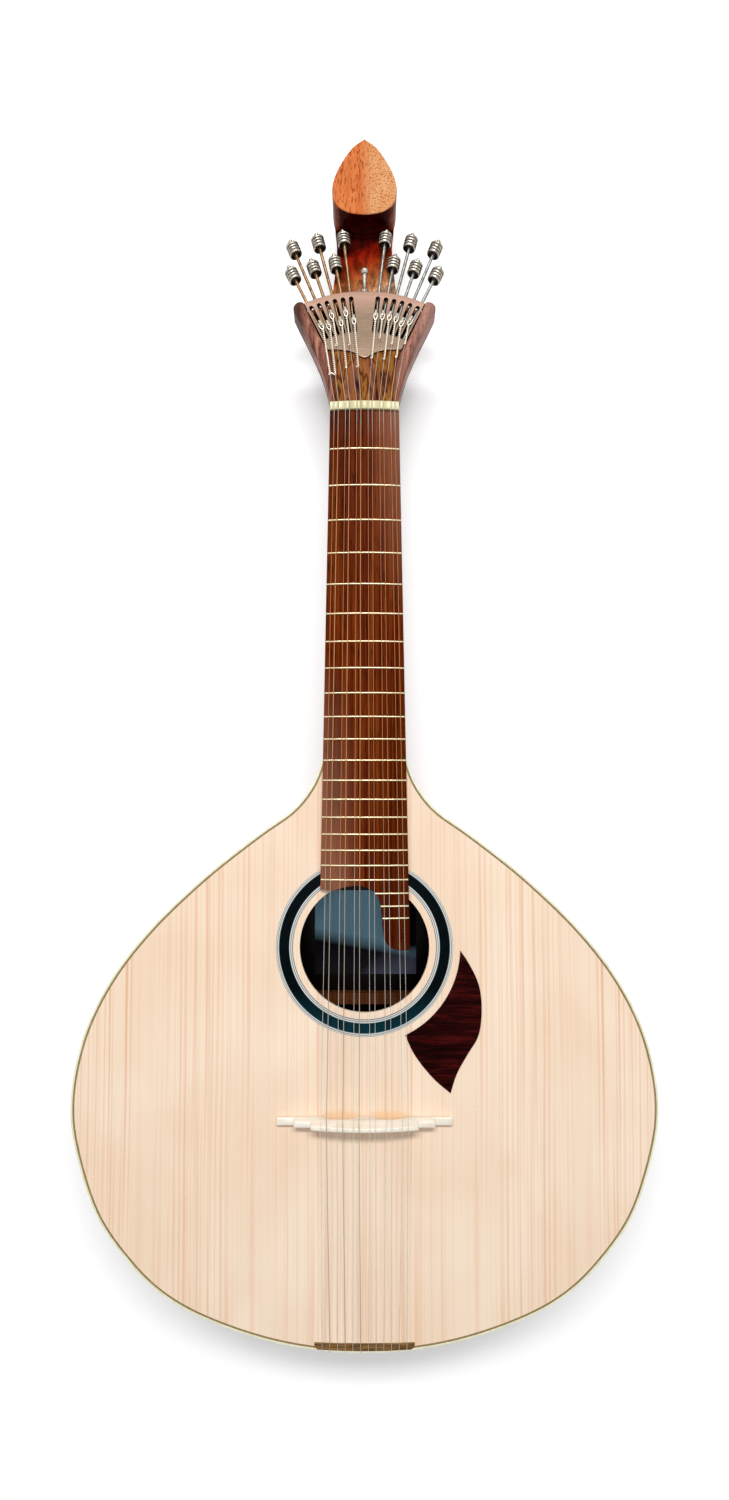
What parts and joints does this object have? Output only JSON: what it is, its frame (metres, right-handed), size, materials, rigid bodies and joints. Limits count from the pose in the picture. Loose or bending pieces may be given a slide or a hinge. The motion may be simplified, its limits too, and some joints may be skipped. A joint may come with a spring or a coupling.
{
  "type": "portuguese guitar",
  "caption": "Pear-shaped flat-topped lute-type guitar with paired metal strings, a floating bone bridge, a fan-shaped screw tuning machine and a teardrop head.",
  "frame": {"origin": "on the outer face of the back, on the centre line, straight below the bridge", "axes": "+Z out of the soundboard, +Y up the neck to the head, +X to the treble side"},
  "size_m": [0.3822, 0.8352, 0.1024],
  "materials": {
    "spruce": "satin",
    "rosette_inlay": "gloss",
    "rib_wood": "gloss",
    "binding": "satin",
    "inner_wood": "unfinished",
    "rosewood": "satin",
    "bone": "polished",
    "neck_wood": "gloss",
    "striped_veneer": "gloss",
    "nickel_plate": "satin nickel",
    "aged_nickel": "aged nickel",
    "string_steel": "bright"
  },
  "bodies": {
    "root": {"soundboard": "spruce", "rosette": "rosette_inlay", "back": "rib_wood", "back_binding": "binding", "top_binding": "binding", "side_treble": "rib_wood", "side_bass": "rib_wood", "neck_block": "inner_wood", "tail_block": "inner_wood", "top_lining": "inner_wood", "back_lining": "inner_wood", "upper_brace": "inner_wood", "lower_brace": "inner_wood", "back_brace_upper": "inner_wood", "back_brace_lower": "inner_wood", "pickguard": "rosewood", "fingerboard": "rosewood", "nut": "bone", "neck": "neck_wood", "head_veneer": "striped_veneer", "tuner_plate": "nickel_plate", "bridge": "bone", "tail_strip": "rosewood", "tail_plate": "string_steel", "string_1": "string_steel", "string_2": "string_steel", "string_3": "string_steel", "string_4": "string_steel", "string_5": "string_steel", "string_6": "string_steel", "string_7": "string_steel", "string_8": "string_steel", "string_9": "string_steel", "string_10": "string_steel", "string_11": "string_steel", "string_12": "string_steel"},
    "screw_1": {"screw_1": "aged_nickel"},
    "hook_1": {"hook_1": "string_steel"},
    "screw_2": {"screw_2": "aged_nickel"},
    "hook_2": {"hook_2": "string_steel"},
    "screw_3": {"screw_3": "aged_nickel"},
    "hook_3": {"hook_3": "string_steel"},
    "screw_4": {"screw_4": "aged_nickel"},
    "hook_4": {"hook_4": "string_steel"},
    "screw_5": {"screw_5": "aged_nickel"},
    "hook_5": {"hook_5": "string_steel"},
    "screw_6": {"screw_6": "aged_nickel"},
    "hook_6": {"hook_6": "string_steel"},
    "screw_7": {"screw_7": "aged_nickel"},
    "hook_7": {"hook_7": "string_steel"},
    "screw_8": {"screw_8": "aged_nickel"},
    "hook_8": {"hook_8": "string_steel"},
    "screw_9": {"screw_9": "aged_nickel"},
    "hook_9": {"hook_9": "string_steel"},
    "screw_10": {"screw_10": "aged_nickel"},
    "hook_10": {"hook_10": "string_steel"},
    "screw_11": {"screw_11": "aged_nickel"},
    "hook_11": {"hook_11": "string_steel"},
    "screw_12": {"screw_12": "aged_nickel"},
    "hook_12": {"hook_12": "string_steel"}
  },
  "joints": [
    {"name": "screw_1_turn", "type": "hinge", "parent": "root", "child": "screw_1", "pos_m": [0, 0.46936, 0.08296], "axis": [-0.4147, 0.8961, -0.158], "range_deg": [-6930, 3570]},
    {"name": "hook_1_slide", "type": "slide", "parent": "root", "child": "hook_1", "axis": [-0.4147, 0.8961, -0.158], "range_m": [-0.00792, 0.01538], "deforming": ["string_1"]},
    {"name": "screw_2_turn", "type": "hinge", "parent": "root", "child": "screw_2", "pos_m": [0, 0.46936, 0.08296], "axis": [-0.3551, 0.9206, -0.1623], "range_deg": [-7870, 2630]},
    {"name": "hook_2_slide", "type": "slide", "parent": "root", "child": "hook_2", "axis": [-0.3551, 0.9206, -0.1623], "range_m": [-0.00583, 0.01748], "deforming": ["string_2"]},
    {"name": "screw_3_turn", "type": "hinge", "parent": "root", "child": "screw_3", "pos_m": [0, 0.46936, 0.08296], "axis": [-0.294, 0.9413, -0.166], "range_deg": [-4620, 5880]},
    {"name": "hook_3_slide", "type": "slide", "parent": "root", "child": "hook_3", "axis": [-0.294, 0.9413, -0.166], "range_m": [-0.01305, 0.01025], "deforming": ["string_3"]},
    {"name": "screw_4_turn", "type": "hinge", "parent": "root", "child": "screw_4", "pos_m": [0, 0.46936, 0.08296], "axis": [-0.2317, 0.958, -0.1689], "range_deg": [-7770, 2740]},
    {"name": "hook_4_slide", "type": "slide", "parent": "root", "child": "hook_4", "axis": [-0.2317, 0.958, -0.1689], "range_m": [-0.00606, 0.01724], "deforming": ["string_4"]},
    {"name": "screw_5_turn", "type": "hinge", "parent": "root", "child": "screw_5", "pos_m": [0, 0.46936, 0.08296], "axis": [-0.1685, 0.9707, -0.1712], "range_deg": [-4620, 5880]},
    {"name": "hook_5_slide", "type": "slide", "parent": "root", "child": "hook_5", "axis": [-0.1685, 0.9707, -0.1712], "range_m": [-0.01305, 0.01025], "deforming": ["string_5"]},
    {"name": "screw_6_turn", "type": "hinge", "parent": "root", "child": "screw_6", "pos_m": [0, 0.46936, 0.08296], "axis": [-0.1045, 0.9794, -0.1727], "range_deg": [-7770, 2740]},
    {"name": "hook_6_slide", "type": "slide", "parent": "root", "child": "hook_6", "axis": [-0.1045, 0.9794, -0.1727], "range_m": [-0.00606, 0.01724], "deforming": ["string_6"]},
    {"name": "screw_7_turn", "type": "hinge", "parent": "root", "child": "screw_7", "pos_m": [0, 0.46936, 0.08296], "axis": [0.1045, 0.9794, -0.1727], "range_deg": [-6090, 4410]},
    {"name": "hook_7_slide", "type": "slide", "parent": "root", "child": "hook_7", "axis": [0.1045, 0.9794, -0.1727], "range_m": [-0.00979, 0.01351], "deforming": ["string_7"]},
    {"name": "screw_8_turn", "type": "hinge", "parent": "root", "child": "screw_8", "pos_m": [0, 0.46936, 0.08296], "axis": [0.1685, 0.9707, -0.1712], "range_deg": [-5880, 4620]},
    {"name": "hook_8_slide", "type": "slide", "parent": "root", "child": "hook_8", "axis": [0.1685, 0.9707, -0.1712], "range_m": [-0.01025, 0.01305], "deforming": ["string_8"]},
    {"name": "screw_9_turn", "type": "hinge", "parent": "root", "child": "screw_9", "pos_m": [0, 0.46936, 0.08296], "axis": [0.2317, 0.958, -0.1689], "range_deg": [-5780, 4730]},
    {"name": "hook_9_slide", "type": "slide", "parent": "root", "child": "hook_9", "axis": [0.2317, 0.958, -0.1689], "range_m": [-0.01048, 0.01282], "deforming": ["string_9"]},
    {"name": "screw_10_turn", "type": "hinge", "parent": "root", "child": "screw_10", "pos_m": [0, 0.46936, 0.08296], "axis": [0.294, 0.9413, -0.166], "range_deg": [-5880, 4620]},
    {"name": "hook_10_slide", "type": "slide", "parent": "root", "child": "hook_10", "axis": [0.294, 0.9413, -0.166], "range_m": [-0.01025, 0.01305], "deforming": ["string_10"]},
    {"name": "screw_11_turn", "type": "hinge", "parent": "root", "child": "screw_11", "pos_m": [0, 0.46936, 0.08296], "axis": [0.3551, 0.9206, -0.1623], "range_deg": [-6720, 3780]},
    {"name": "hook_11_slide", "type": "slide", "parent": "root", "child": "hook_11", "axis": [0.3551, 0.9206, -0.1623], "range_m": [-0.00839, 0.01491], "deforming": ["string_11"]},
    {"name": "screw_12_turn", "type": "hinge", "parent": "root", "child": "screw_12", "pos_m": [0, 0.46936, 0.08296], "axis": [0.4147, 0.8961, -0.158], "range_deg": [-5250, 5250]},
    {"name": "hook_12_slide", "type": "slide", "parent": "root", "child": "hook_12", "axis": [0.4147, 0.8961, -0.158], "range_m": [-0.01165, 0.01165], "deforming": ["string_12"]}
  ],
  "couplings": [
    {"joint": "screw_1_turn", "follows": "hook_1_slide", "rad_per_m": -7854},
    {"joint": "screw_2_turn", "follows": "hook_2_slide", "rad_per_m": -7854},
    {"joint": "screw_3_turn", "follows": "hook_3_slide", "rad_per_m": -7854},
    {"joint": "screw_4_turn", "follows": "hook_4_slide", "rad_per_m": -7854},
    {"joint": "screw_5_turn", "follows": "hook_5_slide", "rad_per_m": -7854},
    {"joint": "screw_6_turn", "follows": "hook_6_slide", "rad_per_m": -7854},
    {"joint": "screw_7_turn", "follows": "hook_7_slide", "rad_per_m": -7854},
    {"joint": "screw_8_turn", "follows": "hook_8_slide", "rad_per_m": -7854},
    {"joint": "screw_9_turn", "follows": "hook_9_slide", "rad_per_m": -7854},
    {"joint": "screw_10_turn", "follows": "hook_10_slide", "rad_per_m": -7854},
    {"joint": "screw_11_turn", "follows": "hook_11_slide", "rad_per_m": -7854},
    {"joint": "screw_12_turn", "follows": "hook_12_slide", "rad_per_m": -7854}
  ]
}
